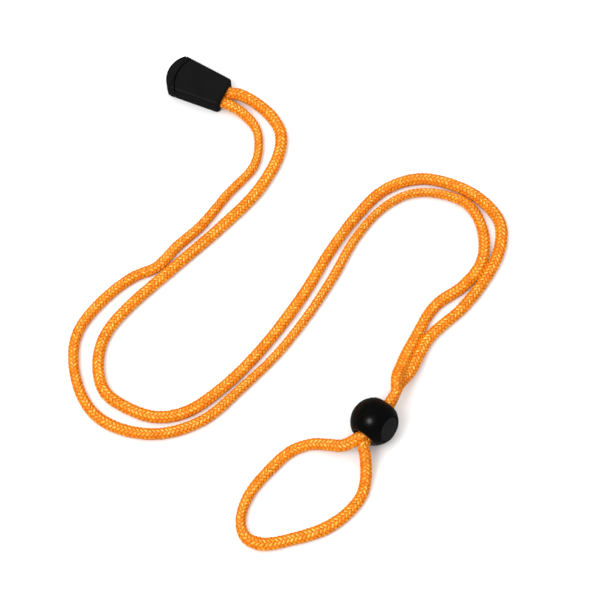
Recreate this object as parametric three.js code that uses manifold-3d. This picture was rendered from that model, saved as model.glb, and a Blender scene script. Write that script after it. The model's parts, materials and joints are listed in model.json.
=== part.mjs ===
// A folded cord lanyard: one soft round braid with both cut ends in a flat plastic cord end, and a ball-shaped
// cord lock on its legs that leaves a small closed loop beyond it. Millimetres, +Z up, the floor at z = 0.
import * as THREE from "three";
import { mergeVertices } from "three/addons/utils/BufferGeometryUtils.js";
import Module from "manifold-3d";

const wasm = await Module();
wasm.setup();

// ---- Driving dimensions ----

const GAP = 0.3; // clearance between pieces that touch
const CORD_D = 3.8; // the braid where it lies free
const PINCHED_D = 3.2; // the braid where the two legs are pressed together
const CLAMPED_D = 2.8; // the braid inside the lock
const TAIL_D = 3.6; // the braid inside the cord end
const CORD_SIDES = 8;
const LEG_STEPS = 29;
const NECK_STEPS = 4;
const LOOP_STEPS = 14;
const CLAMPED_STEPS = 4;

const BALL_R = 8;
const BALL_CENTRE = [31.75, -63.4, BALL_R];
const HOLE_HEADING = THREE.MathUtils.degToRad(55); // of the cross hole, from +X towards +Y
const BUTTON_RISE = THREE.MathUtils.degToRad(22.6); // of the button's axis above the floor
const HOLE_R = 3.55;
const HOLE_LIP = 0.4; // the bevel at each mouth
const HOLE_FLAT = 6.6; // from the centre to the flat around each mouth of the cross hole
const BUTTON_FLAT = 6.4; // from the centre to the flat around the button
const BUTTON_R = 4.35;
const BORE_R = 4.55;
const BORE_FLOOR = -4.8;
const POCKET_R = 3.2;
const POCKET_FLOOR = -6.6;
const BUTTON_PROUD = 0.15; // the button's face above its flat
const WINDOW_LOW = -0.5; // the clamping edge of the button's window
const WINDOW_HIGH = 5.2; // clear of the cord when the button is pressed right in
const WINDOW_HALF = 3.35;
const BUTTON_EDGE = 0.35;
const PLUNGER_FOOT = -2.0;
const BOSS_R = 1.7; // the boss under the plunger that keeps the spring centred
const BOSS_H = 0.8;
const WIRE_D = 0.5;
const SPRING_R = 2.5;
const SPRING_TURNS = 4;
const SPRING_FLAT = 0.08; // share of the wire that lies flat at each end
const STEPS_A_TURN = 14;

const END_CENTRE = [-28.0, 61.7];
const END_HEADING = THREE.MathUtils.degToRad(-25.6); // from the cap towards the cord mouth
const END_HEIGHT = 7;
const END_EDGE = 0.9; // rounding of the long edges
const WALL = 1.1;
const MOUTH_U = 9.9; // stations along the cord end, from its centre
const JOINT_U = -9.05;
const CAP_TIP_U = -12.4;
const SEAM_CORNER_U = -6.4;
const SEAM_TIP_U = -8.65;
const MOUTH_HALF = 5.6; // half widths of the shell at the mouth and at the joint
const JOINT_HALF = 7.1;
const MOUTH_CORNER = 1.5;
const MOUTH_WALL = 2.5;
const SLOT_HALF = 4.3;
const SLOT_R = 2.1;
const TAIL_SPREAD = 2.0;
const PLUG_U = -4; // the inner end of the cap's spigot
const PLUG_WALL = 1;
const BEAD_R = 0.5;
const STOP_LOW_U = -2.6; // the melted stop's two ends and half height
const STOP_HIGH_U = 0.4;
const STOP_HALF_H = 2;

// ---- Materials ----

const orangeBraid = { color: 0xf28c1e, roughness: 0.85, metalness: 0 };
const mattePlastic = { color: 0x161617, roughness: 0.7, metalness: 0 };
const glossPlastic = { color: 0x0b0b0c, roughness: 0.25, metalness: 0 };
const steel = { color: 0xb9bcc0, roughness: 0.3, metalness: 1 };

// ---- Solids ----

const WELD = 1e-4; // points closer than this are one

function toSolid(geometry) {
  const bare = geometry.clone();
  bare.deleteAttribute("normal");
  bare.deleteAttribute("uv");
  const merged = mergeVertices(bare, WELD);
  return new wasm.Manifold(
    new wasm.Mesh({
      numProp: 3,
      vertProperties: new Float32Array(merged.attributes.position.array),
      triVerts: new Uint32Array(merged.index.array),
    }),
  );
}

function toGeometry(solid) {
  const { vertProperties, triVerts } = solid.getMesh();
  return new THREE.BufferGeometry()
    .setAttribute("position", new THREE.BufferAttribute(vertProperties, 3))
    .setIndex(new THREE.BufferAttribute(triVerts, 1));
}

function named(name, geometry, finish) {
  const shape = geometry.index ? geometry.toNonIndexed() : geometry;
  shape.computeVertexNormals();
  const mesh = new THREE.Mesh(shape, new THREE.MeshStandardMaterial(finish));
  mesh.name = name;
  return mesh;
}

function block(low, high) {
  const size = high.map((value, i) => value - low[i]);
  const middle = high.map((value, i) => (value + low[i]) / 2);
  return new THREE.BoxGeometry(...size).translate(...middle);
}

// A solid of revolution about +Z from [radius, z] pairs, lowest first.
function turned(profile, segments) {
  const points = profile.map(([radius, z]) => new THREE.Vector2(radius, z));
  return new THREE.LatheGeometry(points, segments).rotateX(Math.PI / 2);
}

// ---- Cord ----

function tube(points, diameter, steps) {
  const route = new THREE.CatmullRomCurve3(points.map((p) => new THREE.Vector3(...p)));
  const section = new THREE.Shape();
  section.absarc(0, 0, diameter / 2, 0, 2 * Math.PI);
  return new THREE.ExtrudeGeometry(section, {
    steps,
    curveSegments: CORD_SIDES / 2, // an arc gets two points for each segment
    bevelEnabled: false,
    extrudePath: route,
  });
}

const FLOOR_Z = CORD_D / 2;

// Each leg runs from the cord end, round the left bend and the top bend, to the pressed neck.
const LEG_A = [
  [-17.8, 58.9, 3.5],
  [-14.0, 58.4, 3.0],
  [-8.2, 55.4, 2.1],
  [-3.0, 50.6, FLOOR_Z],
  [0.4, 44.0, FLOOR_Z],
  [-0.4, 35.5, FLOOR_Z],
  [-7.6, 22.0, FLOOR_Z],
  [-21.0, 7.6, FLOOR_Z],
  [-37.2, -7.6, FLOOR_Z],
  [-52.0, -21.8, FLOOR_Z],
  [-58.8, -31.1, FLOOR_Z],
  [-60.9, -40.5, FLOOR_Z],
  [-58.5, -50.8, FLOOR_Z],
  [-50.6, -56.8, FLOOR_Z],
  [-40.5, -60.0, FLOOR_Z],
  [-30.2, -57.9, FLOOR_Z],
  [-17.7, -48.7, FLOOR_Z],
  [-4.8, -34.8, FLOOR_Z],
  [8.1, -16.8, FLOOR_Z],
  [17.9, 0.0, FLOOR_Z],
  [26.6, 12.3, FLOOR_Z],
  [36.2, 22.1, FLOOR_Z],
  [47.4, 26.4, FLOOR_Z],
  [58.6, 24.9, FLOOR_Z],
  [69.6, 19.0, FLOOR_Z],
  [76.3, 10.0, FLOOR_Z],
  [75.9, 0.4, FLOOR_Z],
  [70.2, -11.2, FLOOR_Z],
  [62.2, -21.6, FLOOR_Z],
  [55.9, -27.1, FLOOR_Z],
];

const LEG_B = [
  [-19.6, 55.0, 3.5],
  [-17.0, 53.9, 3.1],
  [-12.6, 51.2, 2.2],
  [-8.4, 46.0, FLOOR_Z],
  [-7.3, 39.6, FLOOR_Z],
  [-9.0, 31.4, FLOOR_Z],
  [-18.1, 20.6, FLOOR_Z],
  [-26.9, 9.1, FLOOR_Z],
  [-35.3, 1.1, FLOOR_Z],
  [-41.8, -6.2, FLOOR_Z],
  [-50.2, -10.2, FLOOR_Z],
  [-60.4, -18.9, FLOOR_Z],
  [-68.2, -30.2, FLOOR_Z],
  [-69.2, -41.0, FLOOR_Z],
  [-65.5, -53.5, FLOOR_Z],
  [-59.2, -60.9, FLOOR_Z],
  [-48.6, -65.2, FLOOR_Z],
  [-37.4, -65.5, FLOOR_Z],
  [-24.6, -60.7, FLOOR_Z],
  [-12.6, -50.0, FLOOR_Z],
  [-0.7, -37.9, FLOOR_Z],
  [9.4, -24.6, FLOOR_Z],
  [18.3, -10.4, FLOOR_Z],
  [26.4, 4.4, FLOOR_Z],
  [36.0, 15.6, FLOOR_Z],
  [45.8, 20.9, FLOOR_Z],
  [56.2, 20.8, FLOOR_Z],
  [65.6, 16.6, FLOOR_Z],
  [70.1, 8.0, FLOOR_Z],
  [69.8, -3.8, FLOOR_Z],
  [63.4, -12.9, FLOOR_Z],
  [54.2, -19.6, FLOOR_Z],
  [50.4, -24.3, FLOOR_Z],
  [48.2, -28.4, FLOOR_Z],
];

// The neck climbs from the floor to the lock and turns a quarter, so leg B comes to lie on leg A.
const NECK_A = [
  [55.6, -27.4, FLOOR_Z],
  [52.0, -30.8, 2.0],
  [49.7, -33.7, 2.2],
  [48.0, -36.7, 2.6],
  [46.5, -39.7, 3.1],
  [45.1, -42.7, 3.7],
  [43.7, -45.4, 4.2],
  [42.1, -47.7, 4.9],
  [40.5, -50.1, 5.7],
  [39.4, -52.4, 6.3],
  [38.1, -55.5, 6.3],
];

const NECK_B = [
  [48.0, -28.8, FLOOR_Z],
  [46.8, -31.2, 2.2],
  [45.5, -33.9, 2.7],
  [43.9, -37.0, 3.5],
  [42.5, -40.2, 4.5],
  [41.2, -43.4, 5.8],
  [39.9, -46.4, 7.5],
  [39.2, -49.1, 9.1],
  [39.0, -51.4, 10.0],
  [38.9, -53.5, 10.0],
  [37.7, -55.7, 9.8],
];

// The loop leaves the lock beside its own end, drops to the floor and closes on itself.
const LOOP = [
  [28.1, -71.8, 8.0],
  [28.6, -74.6, 6.9],
  [29.0, -78.4, 4.2],
  [28.7, -82.6, 2.2],
  [27.3, -87.2, FLOOR_Z],
  [22.4, -93.2, FLOOR_Z],
  [15.2, -98.1, FLOOR_Z],
  [4.1, -101.7, FLOOR_Z],
  [-5.2, -103.2, FLOOR_Z],
  [-10.6, -100.9, FLOOR_Z],
  [-12.3, -95.4, FLOOR_Z],
  [-9.7, -86.9, FLOOR_Z],
  [-2.8, -78.2, FLOOR_Z],
  [4.1, -71.9, FLOOR_Z],
  [10.6, -69.5, 2.0],
  [16.4, -70.0, 3.3],
  [21.2, -71.0, 5.7],
  [25.0, -69.9, 7.8],
];

// Stretches inside the lock, in the lock's own frame: along the hole, upwards, along the button's axis.
const CLAMPED_A = [
  [8.3, -1.7, 0.0],
  [5.0, -1.55, 1.0],
  [0.0, -1.55, 1.2],
  [-4.5, -1.55, 1.2],
  [-6.2, -1.5, 1.2],
  [-7.4, -1.2, 1.5],
];

const CLAMPED_B = [
  [8.3, 1.7, 0.0],
  [5.0, 1.55, 1.0],
  [0.0, 1.55, 1.2],
  [-4.5, 1.55, 1.2],
  [-6.2, 1.3, 0.0],
  [-7.4, 1.0, -1.1],
];

function cordPieces() {
  const group = new THREE.Group();
  group.add(
    named("cord_leg_a", tube(LEG_A, CORD_D, LEG_STEPS), orangeBraid),
    named("cord_leg_b", tube(LEG_B, CORD_D, LEG_STEPS), orangeBraid),
    named("cord_neck_a", tube(NECK_A, PINCHED_D, NECK_STEPS), orangeBraid),
    named("cord_neck_b", tube(NECK_B, PINCHED_D, NECK_STEPS), orangeBraid),
    named("cord_loop", tube(LOOP, CORD_D - 2 * GAP, LOOP_STEPS), orangeBraid),
  );
  return group;
}

// ---- Cord lock: X along the cross hole, Z out through the button ----

function ballShell() {
  const ball = toSolid(new THREE.SphereGeometry(BALL_R, 44, 28).rotateX(Math.PI / 2));
  const bore = turned(
    [
      [0, POCKET_FLOOR],
      [POCKET_R, POCKET_FLOOR],
      [POCKET_R, BORE_FLOOR],
      [BORE_R, BORE_FLOOR],
      [BORE_R, 2 * BALL_R],
      [0, 2 * BALL_R],
    ],
    40,
  );
  const hole = turned(
    [
      [0, -2 * BALL_R],
      [HOLE_R + HOLE_LIP, -2 * BALL_R],
      [HOLE_R + HOLE_LIP, -HOLE_FLAT],
      [HOLE_R, HOLE_LIP - HOLE_FLAT],
      [HOLE_R, HOLE_FLAT - HOLE_LIP],
      [HOLE_R + HOLE_LIP, HOLE_FLAT],
      [HOLE_R + HOLE_LIP, 2 * BALL_R],
      [0, 2 * BALL_R],
    ],
    36,
  ).rotateY(Math.PI / 2);
  const beyond = 2 * BALL_R;
  const flats = [
    block([HOLE_FLAT, -beyond, -beyond], [beyond, beyond, beyond]),
    block([-beyond, -beyond, -beyond], [-HOLE_FLAT, beyond, beyond]),
    block([-beyond, -beyond, BUTTON_FLAT], [beyond, beyond, beyond]),
  ];
  return [bore, hole, ...flats].reduce((solid, tool) => solid.subtract(toSolid(tool)), ball);
}

function plunger() {
  const face = BUTTON_FLAT + BUTTON_PROUD;
  const bossFoot = PLUNGER_FOOT - BOSS_H;
  const eased = 0.3 * BUTTON_EDGE;
  const post = turned(
    [
      [0, bossFoot],
      [BOSS_R, bossFoot],
      [BOSS_R, PLUNGER_FOOT],
      [BUTTON_R, PLUNGER_FOOT],
      [BUTTON_R, face - BUTTON_EDGE],
      [BUTTON_R - eased, face - eased],
      [BUTTON_R - BUTTON_EDGE, face],
      [0, face],
    ],
    40,
  );
  const across = 2 * BALL_R;
  const window = block([-across, -WINDOW_HALF, WINDOW_LOW], [across, WINDOW_HALF, WINDOW_HIGH]);
  return toSolid(post).subtract(toSolid(window));
}

class CoilCurve extends THREE.Curve {
  getPoint(t, target = new THREE.Vector3()) {
    const low = POCKET_FLOOR + GAP + WIRE_D / 2;
    const high = PLUNGER_FOOT - GAP - WIRE_D / 2;
    const angle = 2 * Math.PI * SPRING_TURNS * t;
    const z = low + (high - low) * THREE.MathUtils.smoothstep(t, SPRING_FLAT, 1 - SPRING_FLAT);
    return target.set(SPRING_R * Math.cos(angle), SPRING_R * Math.sin(angle), z);
  }
}

function springWire() {
  const section = new THREE.Shape();
  section.absarc(0, 0, WIRE_D / 2, 0, 2 * Math.PI);
  return new THREE.ExtrudeGeometry(section, {
    steps: STEPS_A_TURN * SPRING_TURNS,
    curveSegments: 3,
    bevelEnabled: false,
    extrudePath: new CoilCurve(),
  });
}

function cordLock() {
  const lock = new THREE.Group();
  const along = new THREE.Vector3(Math.cos(HOLE_HEADING), Math.sin(HOLE_HEADING), 0);
  const out = new THREE.Vector3(Math.sin(HOLE_HEADING), -Math.cos(HOLE_HEADING), 0)
    .multiplyScalar(Math.cos(BUTTON_RISE))
    .add(new THREE.Vector3(0, 0, Math.sin(BUTTON_RISE)));
  const up = new THREE.Vector3().crossVectors(out, along);
  lock.quaternion.setFromRotationMatrix(new THREE.Matrix4().makeBasis(along, up, out));
  lock.position.set(...BALL_CENTRE);
  lock.add(
    named("lock_ball", toGeometry(ballShell()), glossPlastic),
    named("lock_button", toGeometry(plunger()), mattePlastic),
    named("lock_spring", springWire(), steel),
    named("cord_clamped_a", tube(CLAMPED_A, CLAMPED_D, CLAMPED_STEPS), orangeBraid),
    named("cord_clamped_b", tube(CLAMPED_B, CLAMPED_D, CLAMPED_STEPS), orangeBraid),
  );
  return lock;
}

// ---- Cord end: X towards the cord mouth, Z up from the floor ----

function halfWidth(u) {
  return THREE.MathUtils.mapLinear(u, JOINT_U, MOUTH_U, JOINT_HALF, MOUTH_HALF);
}

// A plan outline raised into a flat solid with rounded edges, between two heights.
function slab(outline, low, high, edge) {
  return new THREE.ExtrudeGeometry(outline, {
    depth: high - low - 2 * edge,
    bevelThickness: edge,
    bevelSize: edge,
    bevelOffset: -edge,
    bevelSegments: 3,
    curveSegments: 14,
  }).translate(0, 0, low + edge);
}

// Everything on the cap's side of the joint, whose seam bulges towards the cap in one arc.
function capSide(shift) {
  const half = halfWidth(SEAM_CORNER_U);
  const rise = SEAM_CORNER_U - SEAM_TIP_U;
  const radius = (half * half + rise * rise) / (2 * rise);
  const beyond = 1.2; // the arc runs on past the sides
  const reach = Math.asin(half / radius) * beyond;
  const region = new THREE.Shape();
  region.absarc(SEAM_TIP_U + radius + shift, 0, radius, Math.PI + reach, Math.PI - reach, true);
  region.lineTo(2 * CAP_TIP_U, 2 * JOINT_HALF);
  region.lineTo(2 * CAP_TIP_U, -2 * JOINT_HALF);
  region.closePath();
  return toSolid(
    new THREE.ExtrudeGeometry(region, { depth: 2 * END_HEIGHT, curveSegments: 24, bevelEnabled: false })
      .translate(0, 0, -END_HEIGHT / 2),
  );
}

// The plan of the closed cord end: round at the cap, straight tapered sides, small corners at the mouth.
function planOutline() {
  const outline = new THREE.Shape();
  const depth = JOINT_U - CAP_TIP_U;
  const radius = (JOINT_HALF * JOINT_HALF + depth * depth) / (2 * depth);
  const reach = Math.asin(JOINT_HALF / radius);
  outline.absarc(CAP_TIP_U + radius, 0, radius, Math.PI - reach, Math.PI + reach);
  outline.lineTo(MOUTH_U - MOUTH_CORNER, -halfWidth(MOUTH_U - MOUTH_CORNER));
  outline.quadraticCurveTo(MOUTH_U, -MOUTH_HALF, MOUTH_U, MOUTH_CORNER - MOUTH_HALF);
  outline.lineTo(MOUTH_U, MOUTH_HALF - MOUTH_CORNER);
  outline.quadraticCurveTo(MOUTH_U, MOUTH_HALF, MOUTH_U - MOUTH_CORNER, halfWidth(MOUTH_U - MOUTH_CORNER));
  outline.closePath();
  return outline;
}

function taperedOutline(fromU, toU, inset) {
  const outline = new THREE.Shape();
  outline.moveTo(fromU, inset - halfWidth(fromU));
  outline.lineTo(toU, inset - halfWidth(toU));
  outline.lineTo(toU, halfWidth(toU) - inset);
  outline.lineTo(fromU, halfWidth(fromU) - inset);
  outline.closePath();
  return outline;
}

function closedEnd() {
  return toSolid(slab(planOutline(), 0, END_HEIGHT, END_EDGE));
}

function cordSlot() {
  const shape = new THREE.Shape();
  const arcAt = SLOT_HALF - SLOT_R;
  shape.absarc(arcAt, 0, SLOT_R, -Math.PI / 2, Math.PI / 2);
  shape.absarc(-arcAt, 0, SLOT_R, Math.PI / 2, 1.5 * Math.PI);
  const [x, y, z] = [0, 1, 2].map((axis) => new THREE.Vector3().setComponent(axis, 1));
  const slot = new THREE.ExtrudeGeometry(shape, { depth: 2 * MOUTH_WALL, bevelEnabled: false });
  slot.applyMatrix4(new THREE.Matrix4().makeBasis(y, z, x));
  return toSolid(slot.translate(MOUTH_U - 1.5 * MOUTH_WALL, 0, END_HEIGHT / 2));
}

function endBody() {
  const plan = taperedOutline(CAP_TIP_U, MOUTH_U - MOUTH_WALL, WALL);
  const chamberEdge = 0.4;
  const chamber = toSolid(slab(plan, WALL, END_HEIGHT - WALL, chamberEdge));
  return closedEnd().subtract(capSide(0)).subtract(chamber).subtract(cordSlot());
}

// The step line that runs round the cap just behind its rounded head.
function headGroove() {
  const width = 0.4;
  const depth = 0.35;
  const ring = block(
    [JOINT_U, -JOINT_HALF - 1, -1],
    [JOINT_U + width, JOINT_HALF + 1, END_HEIGHT + 1],
  );
  const core = slab(taperedOutline(CAP_TIP_U, 0, depth), depth, END_HEIGHT - depth, END_EDGE - depth);
  return toSolid(ring).subtract(toSolid(core));
}

// A hollow spigot with a snap bead on each side, which goes into the body.
function capPlug() {
  const edge = 0.3;
  const low = WALL + GAP;
  const high = END_HEIGHT - WALL - GAP;
  const half = halfWidth(PLUG_U) - WALL - GAP;
  const spigot = toSolid(slab(taperedOutline(JOINT_U - 1, PLUG_U, WALL + GAP), low, high, edge));
  const hollow = block(
    [SEAM_TIP_U, PLUG_WALL - half, low + PLUG_WALL],
    [0, half - PLUG_WALL, high - PLUG_WALL],
  );
  const beadLength = high - low - 3 * BEAD_R;
  const bead = new THREE.CylinderGeometry(BEAD_R, BEAD_R, beadLength, 12).rotateX(Math.PI / 2);
  const beads = [-1, 1].map((side) =>
    toSolid(bead.clone().translate(PLUG_U - 2 * BEAD_R, side * (half - BEAD_R + GAP / 2), END_HEIGHT / 2)),
  );
  return spigot.subtract(toSolid(hollow)).add(beads[0]).add(beads[1]);
}

function endCap() {
  return closedEnd().intersect(capSide(-GAP)).subtract(headGroove()).add(capPlug());
}

// The two cut ends, melted together into one flat block that cannot pass the mouth.
function meltedStop() {
  const edge = 0.7;
  const outline = taperedOutline(STOP_LOW_U, STOP_HIGH_U, WALL + GAP);
  return slab(outline, END_HEIGHT / 2 - STOP_HALF_H, END_HEIGHT / 2 + STOP_HALF_H, edge);
}

function tail(side) {
  const v = side * TAIL_SPREAD;
  const z = END_HEIGHT / 2;
  const ends = [
    [STOP_HIGH_U + GAP, v, z],
    [MOUTH_U - GAP, v, z],
  ];
  return tube(ends, TAIL_D, 1);
}

function cordEnd() {
  const end = new THREE.Group();
  end.position.set(...END_CENTRE, 0);
  end.rotation.z = END_HEADING;
  end.add(
    named("end_body", toGeometry(endBody()), mattePlastic),
    named("end_cap", toGeometry(endCap()), mattePlastic),
    named("cord_tail_a", tail(1), orangeBraid),
    named("cord_tail_b", tail(-1), orangeBraid),
    named("cord_melted_stop", meltedStop(), orangeBraid),
  );
  return end;
}

const lanyard = new THREE.Group();
lanyard.name = "cord_lanyard";
lanyard.add(cordPieces(), cordLock(), cordEnd());

export default lanyard;
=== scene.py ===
import json
import math

import bpy
import numpy as np
from mathutils import Matrix, Vector


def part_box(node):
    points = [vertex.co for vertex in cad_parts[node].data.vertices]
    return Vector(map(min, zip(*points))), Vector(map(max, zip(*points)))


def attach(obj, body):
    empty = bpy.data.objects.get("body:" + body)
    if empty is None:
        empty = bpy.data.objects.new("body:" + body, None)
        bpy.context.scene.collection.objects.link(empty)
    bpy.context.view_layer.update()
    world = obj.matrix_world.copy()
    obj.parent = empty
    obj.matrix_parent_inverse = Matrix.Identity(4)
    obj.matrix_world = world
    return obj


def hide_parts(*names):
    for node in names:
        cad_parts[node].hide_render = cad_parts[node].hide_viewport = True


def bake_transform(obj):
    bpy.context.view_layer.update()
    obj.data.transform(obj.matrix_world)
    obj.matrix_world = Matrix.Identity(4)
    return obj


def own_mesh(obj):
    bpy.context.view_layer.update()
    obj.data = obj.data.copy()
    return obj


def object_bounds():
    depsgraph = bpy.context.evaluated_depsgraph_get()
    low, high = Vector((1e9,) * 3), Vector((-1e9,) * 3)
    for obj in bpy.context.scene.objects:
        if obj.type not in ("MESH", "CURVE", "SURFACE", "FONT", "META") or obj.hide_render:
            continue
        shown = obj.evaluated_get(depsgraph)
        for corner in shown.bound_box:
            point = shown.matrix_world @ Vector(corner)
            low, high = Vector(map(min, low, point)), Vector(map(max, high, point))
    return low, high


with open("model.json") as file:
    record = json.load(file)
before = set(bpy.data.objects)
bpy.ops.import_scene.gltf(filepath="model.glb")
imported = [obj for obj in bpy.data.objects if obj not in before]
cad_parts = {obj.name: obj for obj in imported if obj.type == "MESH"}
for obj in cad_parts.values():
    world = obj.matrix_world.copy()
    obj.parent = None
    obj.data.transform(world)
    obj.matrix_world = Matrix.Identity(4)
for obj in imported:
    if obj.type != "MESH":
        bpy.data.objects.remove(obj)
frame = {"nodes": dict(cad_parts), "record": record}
cad_low, cad_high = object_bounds()

MM = 0.001

# ---------------------------------------------------------------- camera

scene = bpy.context.scene
scene.view_settings.view_transform = "Standard"
scene.view_settings.look = "None"

CAMERA_RISE = math.radians(70)
CAMERA_AWAY = 684 * MM
AIM_OFFSET = Vector((3.4, -1.5, 0)) * MM  # from the middle of the model to the aim point


def make_camera():
    middle = (cad_low + cad_high) / 2
    aim = Vector((middle.x, middle.y, 0)) + AIM_OFFSET
    back = Vector((0, -math.cos(CAMERA_RISE), math.sin(CAMERA_RISE)))
    data = bpy.data.cameras.new("camera")
    data.lens = 120
    data.sensor_width = 36
    data.clip_start = 0.01
    data.clip_end = 20
    camera = bpy.data.objects.new("camera", data)
    camera.location = aim + back * CAMERA_AWAY
    camera.rotation_mode = "QUATERNION"
    camera.rotation_quaternion = (-back).to_track_quat("-Z", "Y")
    scene.collection.objects.link(camera)
    scene.camera = camera
    return aim, back


aim, to_camera = make_camera()

# ---------------------------------------------------------------- places, from the frame

joints = {joint["name"]: joint for joint in frame["record"]["behaviour"]["joints"]}


def joint_axis(name):
    return Vector(joints[name]["axis"]).normalized()


def place(x_axis, y_axis, z_axis, origin):
    turn = Matrix((x_axis, y_axis, z_axis)).transposed().to_4x4()
    return Matrix.Translation(origin) @ turn


ball_low, ball_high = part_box("lock_ball")
ball_centre = (ball_low + ball_high) / 2
hole_axis = joint_axis("lock_slide")
button_axis = -joint_axis("button_press")
lock_up = button_axis.cross(hole_axis)
LOCK = place(hole_axis, lock_up, button_axis, ball_centre)  # X along the cross hole
LOCK_TURNED = place(lock_up, button_axis, hole_axis, ball_centre)  # Z along the cross hole

mounts = {mount["name"]: mount for mount in frame["record"]["mounts"]}
end_along = -joint_axis("cap_slide")
end_across = Vector((0, 0, 1)).cross(end_along)
END = place(end_along, end_across, Vector((0, 0, 1)), Vector(mounts["cord_end_base"]["pos_m"]))

# ---------------------------------------------------------------- the cord's route, in millimetres

F = 1.9  # half the braid's height where it lies on the floor
TAIL_A = [(0.7, 2.0, 3.5), (5.0, 2.0, 3.5)]
TAIL_B = [(0.7, -2.0, 3.5), (5.0, -2.0, 3.5)]
LEG_A = [
    (-17.8, 58.9, 3.5), (-14.0, 58.4, 3.0), (-8.2, 55.4, 2.1), (-3.0, 50.6, F),
    (0.4, 44.0, F), (-0.4, 35.5, F), (-7.6, 22.0, F), (-21.0, 7.6, F),
    (-37.2, -7.6, F), (-52.0, -21.8, F), (-58.8, -31.1, F), (-60.9, -40.5, F),
    (-58.5, -50.8, F), (-50.6, -56.8, F), (-40.5, -60.0, F), (-30.2, -57.9, F),
    (-17.7, -48.7, F), (-4.8, -34.8, F), (8.1, -16.8, F), (17.9, 0.0, F),
    (26.6, 12.3, F), (36.2, 22.1, F), (47.4, 26.4, F), (58.6, 24.9, F),
    (69.6, 19.0, F), (76.3, 10.0, F), (75.9, 0.4, F), (70.2, -11.2, F),
    (62.2, -21.6, F),
]
LEG_B = [
    (-19.6, 55.0, 3.5), (-17.0, 53.9, 3.1), (-12.6, 51.2, 2.2), (-8.4, 46.0, F),
    (-7.3, 39.6, F), (-9.0, 31.4, F), (-18.1, 20.6, F), (-26.9, 9.1, F),
    (-35.3, 1.1, F), (-41.8, -6.2, F), (-50.2, -10.2, F), (-60.4, -18.9, F),
    (-68.2, -30.2, F), (-69.2, -41.0, F), (-65.5, -53.5, F), (-59.2, -60.9, F),
    (-48.6, -65.2, F), (-37.4, -65.5, F), (-24.6, -60.7, F), (-12.6, -50.0, F),
    (-0.7, -37.9, F), (9.4, -24.6, F), (18.3, -10.4, F), (26.4, 4.4, F),
    (36.0, 15.6, F), (45.8, 20.9, F), (56.2, 20.8, F), (65.6, 16.6, F),
    (70.1, 8.0, F), (69.8, -3.8, F), (63.4, -12.9, F), (54.2, -19.6, F),
    (50.4, -24.3, F),
]
NECK_A = [
    (55.6, -27.4, F), (52.0, -30.8, 2.0), (49.7, -33.7, 2.2), (48.0, -36.7, 2.6),
    (46.5, -39.7, 3.1), (45.1, -42.7, 3.7), (43.7, -45.4, 4.2), (42.1, -47.7, 4.9),
    (40.5, -50.1, 5.7), (39.4, -52.4, 6.3), (38.1, -55.5, 6.3),
]
NECK_B = [
    (48.0, -28.8, F), (46.8, -31.2, 2.2), (45.5, -33.9, 2.7), (43.9, -37.0, 3.5),
    (42.5, -40.2, 4.5), (41.2, -43.4, 5.8), (39.9, -46.4, 7.5), (39.2, -49.1, 9.1),
    (39.0, -51.4, 10.0), (38.9, -53.5, 10.0), (37.7, -55.7, 9.8),
]
LOOP = [
    (28.1, -71.8, 8.0), (28.6, -74.6, 6.9), (29.0, -78.4, 4.2), (28.7, -82.6, 2.2),
    (27.3, -87.2, F), (22.4, -93.2, F), (15.2, -98.1, F), (4.1, -101.7, F),
    (-5.2, -103.2, F), (-10.6, -100.9, F), (-12.3, -95.4, F), (-9.7, -86.9, F),
    (-2.8, -78.2, F), (4.1, -71.9, F), (10.6, -69.5, 2.0), (16.4, -70.0, 3.3),
    (21.2, -71.0, 5.7), (25.0, -69.9, 7.8),
]
CLAMPED_A = [(5.0, -1.55, 1.0), (0.0, -1.55, 1.2), (-4.5, -1.55, 1.2)]
CLAMPED_B = [(5.0, 1.55, 1.0), (0.0, 1.55, 1.2), (-4.5, 1.55, 1.2)]


def placed(points, matrix):
    return [tuple((matrix @ (Vector(p) * MM)) / MM) for p in points]


LINE_STEP = 0.1  # between the points that the cord's line is kept as


def spline(knots):
    """A centripetal curve through the knots, evenly spaced, and each knot's distance along it."""
    pieces = 60
    knots = np.array(knots, float)
    p = np.vstack([2 * knots[0] - knots[1], knots, 2 * knots[-1] - knots[-2]])
    line, first = [], []
    for i in range(1, len(p) - 2):
        t = [0.0]
        for a, b in zip(p[i - 1 : i + 2], p[i : i + 3]):
            t.append(t[-1] + math.sqrt(np.linalg.norm(b - a)))
        u = np.linspace(t[1], t[2], pieces, endpoint=False)[:, None]

        def mix(a, b, ta, tb):
            return ((tb - u) * a + (u - ta) * b) / (tb - ta)

        a1, a2, a3 = (mix(p[i - 1 + k], p[i + k], t[k], t[k + 1]) for k in range(3))
        b1, b2 = mix(a1, a2, t[0], t[2]), mix(a2, a3, t[1], t[3])
        first.append(sum(len(x) for x in line))
        line.append(mix(b1, b2, t[1], t[2]))
    first.append(sum(len(x) for x in line))
    line = np.vstack(line + [knots[-1:]])
    along = np.concatenate([[0], np.cumsum(np.linalg.norm(np.diff(line, axis=0), axis=1))])
    at = np.linspace(0, along[-1], int(along[-1] / LINE_STEP))
    even = np.stack([np.interp(at, along, line[:, k]) for k in range(3)], axis=1)
    return even, at, along[first]


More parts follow.
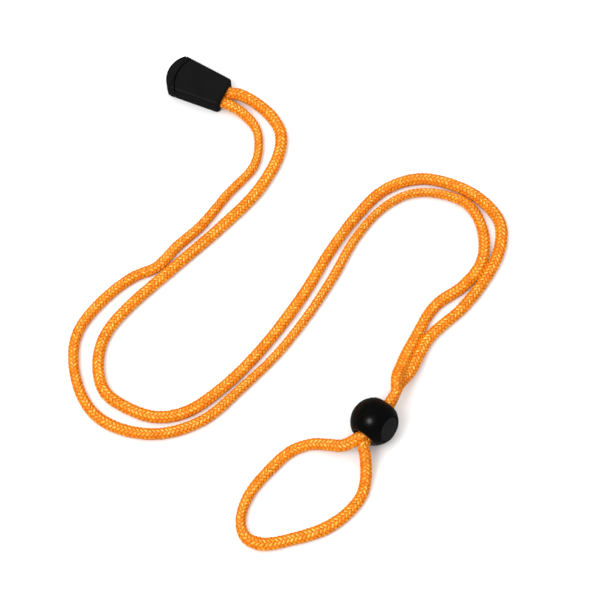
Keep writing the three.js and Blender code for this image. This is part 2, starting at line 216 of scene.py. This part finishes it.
# Half width and half height of the braid along each stretch, by share of its length.
GIRTH = {
    "tail_a": [(0, 1.8, 1.6), (1, 2.2, 1.7)],
    "leg_a": [
        (0, 2.28, 1.75), (0.05, 2.24, 1.75), (0.14, 2.18, 1.75), (0.22, 2.08, 1.75), (0.31, 2.1, 1.75),
        (0.35, 2.05, 1.75), (0.41, 2.2, 1.75), (0.48, 2.2, 1.75), (0.54, 2.0, 1.75), (0.62, 2.1, 1.75),
        (0.7, 1.92, 1.75), (0.8, 2.18, 1.75), (0.92, 2.22, 1.75), (1, 2.0, 1.75),
    ],
    "neck_a": [
        (0, 2.0, 1.75), (0.25, 2.15, 1.75), (0.45, 2.3, 1.75), (0.62, 2.3, 1.7), (0.72, 1.9, 1.65),
        (0.85, 1.75, 1.6), (1, 1.7, 1.5),
    ],
    "lock_a": [(0, 1.6, 1.5), (0.15, 1.25, 1.4), (0.87, 1.25, 1.4), (1, 1.8, 1.6)],
    "loop": [
        (0, 1.8, 1.7), (0.04, 2.1, 1.8), (0.1, 2.05, 1.75), (0.2, 2.07, 1.75), (0.3, 2.3, 1.75),
        (0.39, 2.15, 1.75), (0.47, 2.33, 1.75), (0.54, 1.8, 1.75), (0.63, 1.88, 1.75), (0.73, 2.05, 1.75),
        (0.84, 2.03, 1.75), (0.94, 2.2, 1.8), (1, 2.3, 2.0),
    ],
    "lock_b": [(0, 2.1, 1.7), (0.13, 1.25, 1.4), (0.85, 1.25, 1.4), (1, 1.6, 1.5)],
    "neck_b": [
        (0, 1.7, 1.5), (0.2, 1.85, 1.6), (0.35, 2.1, 1.7), (0.5, 2.3, 1.7), (0.75, 2.2, 1.75),
        (1, 2.0, 1.75),
    ],
    "leg_b": [
        (0, 2.0, 1.75), (0.03, 2.15, 1.75), (0.11, 2.1, 1.75), (0.14, 1.9, 1.75), (0.18, 1.6, 1.7),
        (0.24, 1.55, 1.7), (0.3, 1.78, 1.72), (0.35, 1.62, 1.7), (0.42, 1.6, 1.7), (0.45, 1.75, 1.75),
        (0.49, 1.97, 1.75), (0.54, 2.05, 1.75), (0.58, 2.12, 1.75), (0.64, 1.87, 1.75), (0.7, 1.95, 1.75),
        (0.77, 1.98, 1.75), (0.83, 1.86, 1.75), (0.87, 1.7, 1.7), (0.94, 1.64, 1.7), (0.98, 2.0, 1.7),
        (1, 2.15, 1.7),
    ],
    "tail_b": [(0, 2.15, 1.7), (1, 1.8, 1.6)],
}

STRETCHES = [
    ("tail_a", placed(TAIL_A, END)),
    ("leg_a", LEG_A),
    ("neck_a", NECK_A),
    ("lock_a", placed(CLAMPED_A, LOCK)),
    ("loop", LOOP),
    ("lock_b", placed(CLAMPED_B, LOCK)[::-1]),
    ("neck_b", NECK_B[::-1]),
    ("leg_b", LEG_B[::-1]),
    ("tail_b", placed(TAIL_B, END)[::-1]),
]


def smooth(values, width):
    """Values along the cord evened out over a number of its points."""
    kernel = np.hanning(width + 2)[1:-1]
    padded = np.pad(values, width // 2, mode="edge")
    return np.convolve(padded, kernel / kernel.sum(), mode="same")[width // 2 : width // 2 + len(values)]


GIRTH_SMOOTH = 41
LINE_SMOOTH = 9
LIFTED = 2.6  # above this height of its centre the cord no longer lies on the floor


def whole_cord():
    """The whole cord as one line, with its half width and half height, and where the lock grips it."""
    knots = [p for _, points in STRETCHES for p in points]
    line, at, knot_at = spline(knots)
    wide, high = np.zeros(len(at)), np.zeros(len(at))
    n, grips = 0, []
    for name, points in STRETCHES:
        low = knot_at[n] if n == 0 else (knot_at[n - 1] + knot_at[n]) / 2
        n += len(points)
        top = knot_at[n - 1] if n == len(knots) else (knot_at[n - 1] + knot_at[n]) / 2
        inside = (at >= low) & (at <= top)
        share = (at[inside] - low) / (top - low)
        girth = np.array(GIRTH[name])
        wide[inside] = np.interp(share, girth[:, 0], girth[:, 1])
        high[inside] = np.interp(share, girth[:, 0], girth[:, 2])
        if name.startswith("lock"):
            grips.append(float(knot_at[n - 2]))
    wide, high = smooth(wide, GIRTH_SMOOTH), smooth(high, GIRTH_SMOOTH)
    for k in range(3):
        line[:, k] = smooth(line[:, k], LINE_SMOOTH)
    lying = np.clip((LIFTED - line[:, 2]) / (LIFTED - F), 0, 1)
    line[:, 2] += lying * (high - F)
    return line, at, wide, high, grips


line, along, half_wide, half_high, grips = whole_cord()

# ---------------------------------------------------------------- the braid

PITCH = 1.4  # between one stitch and the next along a rib
RIBS = 8  # ribs of stitches round the cord, slanting left and right by turns
TUCK = 1.34  # how far a stitch runs on under the next rib, in half ribs
SINK = 0.2  # how far a stitch dips where it goes under
YARN_T = 0.27  # how proud the middle of a yarn stands above its edges
ROUNDNESS = 0.97  # how near a yarn's section comes to a full half circle at its edges
SKIN = 0.02  # how far the highest yarn stays under the cord's skin
NARROWING = 0.22  # how much of its width a stitch loses at its ends
BOW = 0.07  # a stitch is a little curved, as yarn is
MARGIN = 0.6  # from the cord's cut to the middle of its first stitch
UNEVEN_PLACE = 0.035
UNEVEN_WIDTH = 0.04
UNEVEN_LIFT = 0.03
CORE_DEPTH = 0.43
CORE_STEP = 0.7
CORE_SIDES = 16
ACROSS = np.array([-1, -0.62, 0, 0.62, 1])
ALONG = np.linspace(-TUCK, TUCK, 8)


def make_object(name, points, faces, material, sharp=None):
    mesh = bpy.data.meshes.new(name)
    mesh.from_pydata([tuple(p) for p in points], [], [tuple(f) for f in faces])
    mesh.polygons.foreach_set("use_smooth", np.ones(len(mesh.polygons), bool))
    if sharp is not None:
        mesh.set_sharp_from_angle(angle=math.radians(sharp))
    mesh.materials.append(material)
    mesh.update()
    obj = bpy.data.objects.new(name, mesh)
    scene.collection.objects.link(obj)
    return obj


def grid_faces(rows, columns, start=0, closed=False):
    """Four-sided faces of a grid whose points go row by row."""
    wrap = columns if closed else columns - 1
    i, j = np.meshgrid(np.arange(rows - 1), np.arange(wrap), indexing="ij")
    k = (j + 1) % columns
    here, ahead = i * columns, (i + 1) * columns
    quads = np.stack([here + j, here + k, ahead + k, ahead + j], axis=-1)
    return quads.reshape(-1, 4) + start


tangent = np.gradient(line, axis=0)
tangent /= np.linalg.norm(tangent, axis=1)[:, None]
side = np.cross((0, 0, 1), tangent)
side /= np.linalg.norm(side, axis=1)[:, None]
top = np.cross(tangent, side)


def on_cord(s, angle, depth):
    """Points in metres, at a distance along the cord, an angle round it and a depth under its skin."""
    shape = np.broadcast_shapes(s.shape, angle.shape, depth.shape)
    s, angle, depth = (np.broadcast_to(x, shape).ravel() for x in (s, angle, depth))
    c, b, n = (
        np.stack([np.interp(s, along, v[:, k]) for k in range(3)], axis=1) for v in (line, side, top)
    )
    w = np.interp(s, along, half_wide) - depth
    h = np.interp(s, along, half_high) - depth
    return (c + b * (w * np.cos(angle))[:, None] + n * (h * np.sin(angle))[:, None]) * MM


def braid(name, start, stop, material, seed):
    """The stitches of a stretch of braid, each a slanted pillow of yarn, over a core that is darkened with
    painted shade.
    """
    rng = np.random.default_rng(seed)
    first, last = math.ceil((start + MARGIN) / PITCH), math.floor((stop - MARGIN) / PITCH)
    row, rib = np.meshgrid(np.arange(first, last + 1), np.arange(RIBS), indexing="ij")
    row, rib = row.ravel(), rib.ravel()
    slant = np.where(rib % 2 == 0, 1.0, -1.0)
    s0 = row * PITCH + slant * PITCH / 4 + rng.normal(0, UNEVEN_PLACE, len(row))
    a0 = (rib + 0.5) * 2 * math.pi / RIBS
    radius = (np.interp(s0, along, half_wide) + np.interp(s0, along, half_high)) / 2
    arc = radius * math.pi / RIBS  # half a rib's width
    rise = PITCH / 2
    long = np.hypot(arc, rise)
    spacing = PITCH * arc / long
    fat = rng.normal(1.0, UNEVEN_WIDTH, len(row))
    half = 0.5 * spacing * fat
    lift = rng.normal(0, UNEVEN_LIFT, len(row))
    u, v = np.meshgrid(ALONG, ACROSS, indexing="ij")
    u, v = u[None], v[None]

    def per(x):
        return x[:, None, None]

    taper = 1 - NARROWING * (np.abs(u) / TUCK) ** 3
    bow = BOW * (1 - u * u)
    off = v * per(half) * taper
    s = per(s0) + per(slant) * u * rise + (off + bow) * per(arc / long)
    angle = per(a0) + (u * per(arc) - per(slant) * off * per(rise / long)) / per(radius)
    dip = SINK * (1 - np.cos(math.pi * u / 2))
    crown = YARN_T * (1 - np.sqrt(1 - (ROUNDNESS * v) ** 2))
    depth = np.maximum(dip + crown - per(lift) + SKIN, 0)
    points = on_cord(s, angle, depth)
    rows, columns = len(ALONG), len(ACROSS)
    stitch = grid_faces(rows, columns)
    faces = (stitch[None] + (np.arange(len(row)) * rows * columns)[:, None, None]).reshape(-1, 4)
    deep = np.broadcast_to(depth, s.shape).ravel() / (SINK + YARN_T)
    tone = np.broadcast_to(per(rng.random(len(row))), s.shape).ravel()
    yarn = np.stack(
        [
            np.broadcast_to(u * per(long), s.shape).ravel(),
            np.broadcast_to(off, s.shape).ravel(),
            tone * 50,
        ],
        axis=1,
    )
    ring = np.arange(CORE_SIDES) * 2 * math.pi / CORE_SIDES
    core_s = np.linspace(start, stop, int((stop - start) / CORE_STEP))
    core = on_cord(core_s[:, None], ring[None], np.full((1, 1), CORE_DEPTH))
    core_faces = grid_faces(len(core_s), CORE_SIDES, len(points), closed=True)
    all_points = np.vstack([points, core])
    obj = make_object(name, all_points, np.vstack([faces, core_faces]), material)
    mesh = obj.data
    extra = len(core)
    for key, value in (("deep", deep), ("tone", tone)):
        layer = mesh.attributes.new(key, "FLOAT", "POINT")
        # The core takes the deepest value, so the braid material paints it with its darkest painted shade.
        fill = 1.0 if key == "deep" else 0.5
        layer.data.foreach_set("value", np.concatenate([value, np.full(extra, fill)]).astype(np.float32))
    layer = mesh.attributes.new("yarn", "FLOAT_VECTOR", "POINT")
    packed = np.vstack([yarn, np.zeros((extra, 3))]).astype(np.float32)
    layer.data.foreach_set("vector", packed.ravel())
    return obj


# ---------------------------------------------------------------- materials


class Nodes:
    """A short way to write a node material."""

    def __init__(self, name):
        self.material = bpy.data.materials.new(name)
        self.material.use_nodes = True
        self.tree = self.material.node_tree
        self.shader = self.tree.nodes["Principled BSDF"]

    def add(self, kind, settings=None, **inputs):
        node = self.tree.nodes.new(kind)
        for key, value in (settings or {}).items():
            setattr(node, key, value)
        for key, value in inputs.items():
            self.put(node, key.replace("_", " "), value)
        return node

    def put(self, node, key, value):
        socket = node.inputs[int(key)] if key.isdigit() else node.inputs[key]
        if isinstance(value, bpy.types.NodeSocket):
            self.tree.links.new(value, socket)
        else:
            socket.default_value = value

    def ramp(self, factor, stops):
        node = self.add("ShaderNodeValToRGB", Fac=factor)
        elements = node.color_ramp.elements
        while len(elements) < len(stops):
            elements.new(0.5)
        for element, (position, colour) in zip(elements, stops):
            element.position = position
            element.color = (*colour, 1) if len(colour) == 3 else colour
        return node.outputs["Color"]

    def mix(self, factor, a, b, mode="MIX"):
        node = self.add("ShaderNodeMix", {"data_type": "RGBA", "blend_type": mode})
        for index, value in ((0, factor), (6, a), (7, b)):
            self.put(node, str(index), value)
        return node.outputs[2]

    def math(self, operation, a, b=0.0):
        node = self.add("ShaderNodeMath", {"operation": operation})
        self.put(node, "0", a)
        self.put(node, "1", b)
        return node.outputs[0]

    def noise(self, vector, scale, detail=2.0, rough=0.5):
        node = self.add("ShaderNodeTexNoise", Vector=vector, Scale=scale, Detail=detail, Roughness=rough)
        return node.outputs["Fac"]

    def place(self):
        return self.add("ShaderNodeTexCoord").outputs["Object"]

    def bump(self, height, distance, strength=1.0):
        node = self.add("ShaderNodeBump", Height=height, Distance=distance, Strength=strength)
        self.put(self.shader, "Normal", node.outputs["Normal"])

    def set(self, **values):
        for key, value in values.items():
            self.put(self.shader, key.replace("_", " "), value)


def braid_material():
    """Orange filament yarn, with a painted highlight as a pale streak along one edge of each stitch, and
    painted brown shade in the gaps.
    """
    n = Nodes("braid")
    deep = n.add("ShaderNodeAttribute", {"attribute_name": "deep"}).outputs["Fac"]
    tone = n.add("ShaderNodeAttribute", {"attribute_name": "tone"}).outputs["Fac"]
    yarn = n.add("ShaderNodeAttribute", {"attribute_name": "yarn"}).outputs["Vector"]
    stretched = n.add("ShaderNodeVectorMath", {"operation": "MULTIPLY"})
    n.put(stretched, "0", yarn)
    n.put(stretched, "1", (0.9, 11.0, 1.0))
    fibres = n.noise(stretched.outputs[0], 1.4, 3.0, 0.6)
    # Painted shade and highlight: the yarn is lightest on the crown of each stitch and darkens with its
    # depth under the cord's skin, to dark brown in the gaps between stitches.
    body = n.ramp(
        deep,
        [
            (0.0, (0.94, 0.315, 0.006)),
            (0.28, (0.92, 0.255, 0.003)),
            (0.55, (0.82, 0.195, 0.002)),
            (0.88, (0.42, 0.125, 0.002)),
        ],
    )
    # Painted highlight: a pale yellow streak along one edge of each stitch, strongest at the stitch's
    # middle, mixed into the yarn's colour.
    across = n.add("ShaderNodeSeparateXYZ", Vector=yarn).outputs["Y"]
    painted_highlight_band = n.ramp(across, [(0.06, (0, 0, 0)), (0.22, (1, 1, 1)), (0.32, (1, 1, 1)), (0.46, (0, 0, 0))])
    reach = n.add("ShaderNodeSeparateXYZ", Vector=yarn).outputs["X"]
    middle = n.ramp(n.math("ABSOLUTE", reach), [(0.25, (1, 1, 1)), (0.75, (0, 0, 0))])
    pale = n.math("MULTIPLY", n.math("MULTIPLY", painted_highlight_band, middle), n.math("MULTIPLY_ADD", tone, 0.8))
    with_painted_highlight = n.mix(pale, body, (1.0, 0.66, 0.17, 1))
    tint = n.ramp(tone, [(0.0, (0.97, 0.80, 0.6)), (0.5, (1.0, 1.0, 1.0)), (1.0, (1.0, 1.18, 1.5))])
    coloured = n.mix(1.0, with_painted_highlight, tint, "MULTIPLY")
    lines = n.ramp(fibres, [(0.3, (0.80, 0.74, 0.62)), (0.62, (1.0, 1.0, 1.0))])
    threads = n.mix(0.8, coloured, lines, "MULTIPLY")
    wear = n.noise(n.place(), 55.0, 3.0)
    faded = n.ramp(wear, [(0.35, (0.95, 0.93, 0.9)), (0.65, (1.0, 1.0, 1.0))])
    n.set(Base_Color=n.mix(1.0, threads, faded, "MULTIPLY"))
    rough = n.add("ShaderNodeMapRange", Value=fibres)
    n.put(rough, "To Min", 0.42)
    n.put(rough, "To Max", 0.66)
    n.set(Roughness=rough.outputs[0])
    n.shader.inputs["Specular IOR Level"].default_value = 0.2
    n.bump(fibres, 0.05 * MM, 0.8)
    return n.material


def melted_material():
    n = Nodes("melted_braid")
    blotch = n.noise(n.place(), 900.0, 3.0)
    n.set(
        Base_Color=n.ramp(blotch, [(0.35, (0.30, 0.07, 0.008)), (0.65, (0.62, 0.19, 0.015))]),
        Roughness=n.math("MULTIPLY_ADD", blotch, 0.3),
    )
    n.bump(n.noise(n.place(), 1500.0, 2.0), 0.08 * MM, 0.6)
    return n.material


def plastic(name, colour, lighter, rough, grain, grain_depth, shine):
    """Black moulded plastic: a fine moulding texture, slight unevenness in shine, faint handling marks."""
    n = Nodes(name)
    where = n.place()
    cloud = n.noise(where, 160.0, 3.0)
    n.set(Base_Color=n.ramp(cloud, [(0.3, colour), (0.75, lighter)]))
    marks = n.noise(where, 420.0, 5.0, 0.7)
    spread = n.add("ShaderNodeMapRange", Value=marks)
    n.put(spread, "From Min", 0.3)
    n.put(spread, "From Max", 0.75)
    n.put(spread, "To Min", rough[0])
    n.put(spread, "To Max", rough[1])
    n.set(Roughness=spread.outputs[0])
    n.shader.inputs["Specular IOR Level"].default_value = shine
    n.bump(n.noise(where, grain, 2.0), grain_depth * MM, 0.7)
    return n.material


def steel_material():
    n = Nodes("spring_steel")
    drawn = n.noise(n.place(), 5000.0, 2.0)
    n.set(
        Base_Color=n.ramp(drawn, [(0.3, (0.42, 0.43, 0.45)), (0.7, (0.68, 0.69, 0.71))]),
        Roughness=n.math("MULTIPLY", drawn, 0.55),
    )
    n.shader.inputs["Metallic"].default_value = 1.0
    n.bump(drawn, 0.01 * MM, 0.5)
    return n.material


braid_look = braid_material()
melted_look = melted_material()
end_look = plastic(
    "end_plastic", (0.0032, 0.0032, 0.0033), (0.0048, 0.0048, 0.0049), rough=(0.5, 0.66),
    grain=5200.0, grain_depth=0.03, shine=0.14,
)
ball_look = plastic(
    "ball_plastic", (0.0010, 0.0009, 0.0008), (0.0015, 0.0014, 0.0013), rough=(0.24, 0.32),
    grain=2600.0, grain_depth=0.002, shine=0.14,
)
button_look = plastic(
    "button_plastic", (0.0085, 0.0080, 0.0088), (0.0115, 0.0108, 0.0118), rough=(0.42, 0.52),
    grain=5200.0, grain_depth=0.01, shine=0.2,
)
steel_look = steel_material()

# ---------------------------------------------------------------- the cord

BALL_R = 8.0
grip_a, grip_b = grips
cord_end = float(along[-1])
leg_a = braid("braid_leg_a", 0.0, grip_a, braid_look, 11)
loop = braid("braid_loop", grip_a, grip_b, braid_look, 12)
leg_b = braid("braid_leg_b", grip_b, cord_end, braid_look, 13)
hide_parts("cord_leg_a", "cord_neck_a", "cord_clamped_a", "cord_tail_a")
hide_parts("cord_leg_b", "cord_neck_b", "cord_clamped_b", "cord_tail_b")
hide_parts("cord_loop")
for piece in (leg_a, leg_b):
    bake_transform(piece)
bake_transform(loop)

# ---------------------------------------------------------------- moulded pieces


def arc(centre, radius, start, stop, steps):
    angles = np.radians(np.linspace(start, stop, steps))
    return [(centre[0] + radius * math.cos(a), centre[1] + radius * math.sin(a)) for a in angles]


def rounded(profile):
    """A profile of (radius, height, rounding) corners, with each corner rounded."""
    out = []
    for i, (r, z, rounding) in enumerate(profile):
        if rounding == 0 or i in (0, len(profile) - 1):
            out.append((r, z))
            continue
        here = np.array((r, z))
        back = np.array(profile[i - 1][:2]) - here
        ahead = np.array(profile[i + 1][:2]) - here
        back, ahead = back / np.linalg.norm(back), ahead / np.linalg.norm(ahead)
        for t in np.linspace(0, 1, 7):
            bend = here + rounding * ((1 - t) ** 2 * back + t**2 * ahead)
            out.append(tuple(bend))
    return out


def turned(name, profile, matrix, material, segments=128, closed=False):
    """A profile of (radius, height) turned about the matrix's Z axis."""
    angles = np.arange(segments) * 2 * math.pi / segments
    rings = [p for p in profile if p[0] > 1e-6]
    points = [(r * math.cos(a), r * math.sin(a), z) for r, z in rings for a in angles]
    faces = [tuple(f) for f in grid_faces(len(rings), segments, closed=True)]
    if closed:
        last = (len(rings) - 1) * segments
        ahead = [(j + 1) % segments for j in range(segments)]
        faces += [(last + j, last + k, k, j) for j, k in enumerate(ahead)]
    else:
        for ring, z, flip in ((0, profile[0][1], True), (len(rings) - 1, profile[-1][1], False)):
            points.append((0, 0, z))
            centre = len(points) - 1
            for j in range(segments):
                a, b = ring * segments + j, ring * segments + (j + 1) % segments
                faces.append((centre, b, a) if flip else (centre, a, b))
    placed_points = [matrix @ (Vector(p) * MM) for p in points]
    return make_object(name, placed_points, faces, material)


def block(name, low, high, rounding, matrix, material):
    """A box with rounded edges, built as a cage and bevelled."""
    xs, ys, zs = zip(low, high)
    corners = [(x, y, z) for x in xs for y in ys for z in zs]
    faces = [(0, 1, 3, 2), (4, 6, 7, 5), (0, 4, 5, 1), (2, 3, 7, 6), (0, 2, 6, 4), (1, 5, 7, 3)]
    obj = make_object(name, [matrix @ (Vector(c) * MM) for c in corners], faces, material)
    bevel = obj.modifiers.new("bevel", "BEVEL")
    bevel.width = rounding * MM
    bevel.segments = 4
    settle(obj)
    return obj


def settle(obj):
    """Turns the object's modifiers into its mesh."""
    graph = bpy.context.evaluated_depsgraph_get()
    graph.update()
    fresh = bpy.data.meshes.new_from_object(obj.evaluated_get(graph))
    obj.modifiers.clear()
    obj.data = fresh


def cut(obj, cutter):
    """Takes the cutter's shape out of the object and removes the cutter."""
    minus = obj.modifiers.new("cut", "BOOLEAN")
    minus.operation = "DIFFERENCE"
    minus.solver = "EXACT"
    minus.object = cutter
    settle(obj)
    bpy.data.objects.remove(cutter)


def smooth_by_angle(obj, degrees):
    mesh = obj.data
    mesh.polygons.foreach_set("use_smooth", np.ones(len(mesh.polygons), bool))
    mesh.set_sharp_from_angle(angle=math.radians(degrees))


HOLE_R = 3.55
HOLE_FLAT = 6.6
BUTTON_FLAT = 6.4
BUTTON_R = 4.35
BORE_R = 4.55
BORE_FLOOR = -4.8
POCKET_R = 3.2
POCKET_FLOOR = -6.6
BUTTON_PROUD = 0.15
PLUNGER_FOOT = -2.0
BOSS_R = 1.7  # the boss under the plunger, inside the spring
BOSS_H = 0.8
WINDOW_HALF = 3.35
WINDOW_LOW = -0.5
WINDOW_HIGH = 5.2
WIRE_R = 0.25
SPRING_R = 2.5
SPRING_TURNS = 4
SPRING_FLAT = 0.08  # share of the wire that lies flat at each end
SPRING_GAP = 0.3


def ball_shell():
    flat_r = math.sqrt(BALL_R**2 - HOLE_FLAT**2)
    edge = math.degrees(math.atan2(HOLE_FLAT, flat_r))
    shell = arc((0, 0), BALL_R, -edge + 2.2, edge - 2.2, 96)
    lip = [
        (*shell[-1], 0), (flat_r, HOLE_FLAT, 0.2), (HOLE_R, HOLE_FLAT, 0.42), (HOLE_R, HOLE_FLAT - 1.5, 0),
    ]
    upper = rounded(lip)[1:]
    lower = [(r, -z) for r, z in reversed(upper)]
    wall = [(HOLE_R, z) for z in np.linspace(HOLE_FLAT - 1.5, -(HOLE_FLAT - 1.5), 12)[1:-1]]
    profile = shell + upper + wall + lower
    ball = turned("ball_shell", profile, LOCK_TURNED, ball_look, 192, closed=True)
    bore = rounded(
        [
            (0, POCKET_FLOOR, 0), (POCKET_R, POCKET_FLOOR, 0.3), (POCKET_R, BORE_FLOOR, 0.2),
            (BORE_R, BORE_FLOOR, 0.3), (BORE_R, BUTTON_FLAT, 0.2), (7.5, BUTTON_FLAT, 0),
            (7.5, 9.5, 0), (0, 9.5, 0),
        ]
    )
    cut(ball, turned("bore", bore, LOCK, ball_look, 160))
    smooth_by_angle(ball, 28)
    return ball


def push_button():
    face = BUTTON_FLAT + BUTTON_PROUD
    foot = PLUNGER_FOOT - BOSS_H
    profile = rounded(
        [
            (0, foot, 0), (BOSS_R, foot, 0.25), (BOSS_R, PLUNGER_FOOT, 0.1),
            (BUTTON_R, PLUNGER_FOOT, 0.3), (BUTTON_R, face, 0.34), (0, face, 0),
        ]
    )
    button = turned("push_button", profile, LOCK, button_look, 160)
    low = (-12, -WINDOW_HALF, WINDOW_LOW)
    high = (12, WINDOW_HALF, WINDOW_HIGH)
    window = block("window", low, high, 0.5, LOCK, button_look)
    cut(button, window)
    smooth_by_angle(button, 35)
    return button


def coil_spring():
    sides = 10
    low = POCKET_FLOOR + SPRING_GAP + WIRE_R
    high = PLUNGER_FOOT - SPRING_GAP - WIRE_R
    t = np.linspace(0, 1, 220)
    eased = np.clip((t - SPRING_FLAT) / (1 - 2 * SPRING_FLAT), 0, 1)
    z = low + (high - low) * eased * eased * (3 - 2 * eased)
    a = 2 * math.pi * SPRING_TURNS * t
    centre = np.stack([SPRING_R * np.cos(a), SPRING_R * np.sin(a), z], axis=1)
    run = np.gradient(centre, axis=0)
    run /= np.linalg.norm(run, axis=1)[:, None]
    out = np.stack([np.cos(a), np.sin(a), 0 * a], axis=1)
    over = np.cross(run, out)
    ring = (np.arange(sides) * 2 * math.pi / sides)[None, :, None]
    section = np.cos(ring) * out[:, None] + np.sin(ring) * over[:, None]
    points = (centre[:, None] + WIRE_R * section).reshape(-1, 3)
    faces = [tuple(f) for f in grid_faces(len(t), sides, closed=True)]
    faces += [tuple(range(sides - 1, -1, -1)), tuple(range(len(points) - sides, len(points)))]
    placed_points = [LOCK @ (Vector(p) * MM) for p in points]
    return make_object("coil_spring", placed_points, faces, steel_look, sharp=50)


def moulded(name, node, voxel, passes, ratio, material):
    """The CAD node's own shape with its edges softened, as a moulding's are."""
    obj = bpy.data.objects.new(name, frame["nodes"][node].data.copy())
    scene.collection.objects.link(obj)
    obj.data.materials.clear()
    obj.data.materials.append(material)
    remesh = obj.modifiers.new("remesh", "REMESH")
    remesh.mode = "VOXEL"
    remesh.voxel_size = voxel * MM
    soften = obj.modifiers.new("soften", "SMOOTH")
    soften.factor = 0.5
    soften.iterations = passes
    thin = obj.modifiers.new("thin", "DECIMATE")
    thin.ratio = ratio
    settle(obj)
    smooth_by_angle(obj, 60)
    obj.data.materials.clear()
    obj.data.materials.append(material)
    return obj


ball = ball_shell()
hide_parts("lock_ball")
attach(ball, "lock")

button = push_button()
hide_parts("lock_button")
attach(button, "lock_button")

spring = coil_spring()
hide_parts("lock_spring")
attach(spring, "lock")
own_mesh(spring)

end_shell = moulded("end_shell", "end_body", 0.13, 5, 0.35, end_look)
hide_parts("end_body")
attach(end_shell, "cord")

cap = moulded("end_cap_shell", "end_cap", 0.13, 5, 0.35, end_look)
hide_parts("end_cap")
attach(cap, "end_cap")

stop_lump = moulded("melted_end", "cord_melted_stop", 0.2, 14, 0.6, melted_look)
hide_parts("cord_melted_stop")
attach(stop_lump, "cord")

# ---------------------------------------------------------------- floor and lights


def floor():
    n = Nodes("floor")
    grain = n.noise(n.place(), 30.0, 2.0)
    pale = n.ramp(grain, [(0.3, (0.93, 0.93, 0.93)), (0.7, (0.95, 0.95, 0.95))])
    n.set(Base_Color=pale, Roughness=0.9)
    size = 3.0
    corners = [(-size, -size, 0), (size, -size, 0), (size, size, 0), (-size, size, 0)]
    obj = make_object("floor", corners, [(0, 1, 2, 3)], n.material)
    obj.visible_glossy = False


def light(name, direction, away, size, power, glossy=False, diffuse=True):
    """A round lamp aimed at the middle of the view, which the camera doesn't see."""
    data = bpy.data.lights.new(name, "AREA")
    data.shape = "DISK"
    data.size = size
    data.energy = power
    obj = bpy.data.objects.new(name, data)
    obj.location = aim + direction.normalized() * away
    obj.rotation_mode = "QUATERNION"
    obj.rotation_quaternion = direction.to_track_quat("Z", "Y")
    obj.visible_glossy = glossy
    obj.visible_diffuse = diffuse
    obj.visible_camera = False
    scene.collection.objects.link(obj)


floor()
screen_right = Vector((1, 0, 0))
screen_up = to_camera.cross(screen_right)
key = Matrix.Rotation(math.radians(-24), 3, screen_up) @ to_camera
key = Matrix.Rotation(math.radians(-3), 3, screen_right) @ key
light("glint", key, 1.0, 0.26, 5.2, glossy=True, diffuse=False)
light("key", key, 1.0, 0.5, 4.0)
light("softbox", Vector((-0.1, 0.1, 1.0)), 1.3, 2.4, 24)
light("fill_right", Vector((1.0, 0.5, 0.7)), 1.2, 0.8, 1.5)
light("fill_back", Vector((-0.6, 1.0, 0.6)), 1.2, 0.8, 1.5)
light("fill_front", Vector((-0.2, -1.0, 0.35)), 1.2, 0.9, 2)

world = bpy.data.worlds.new("world")
world.use_nodes = True
world.node_tree.nodes["Background"].inputs["Color"].default_value = (1, 1, 1, 1)
world.node_tree.nodes["Background"].inputs["Strength"].default_value = 0.2
scene.world = world
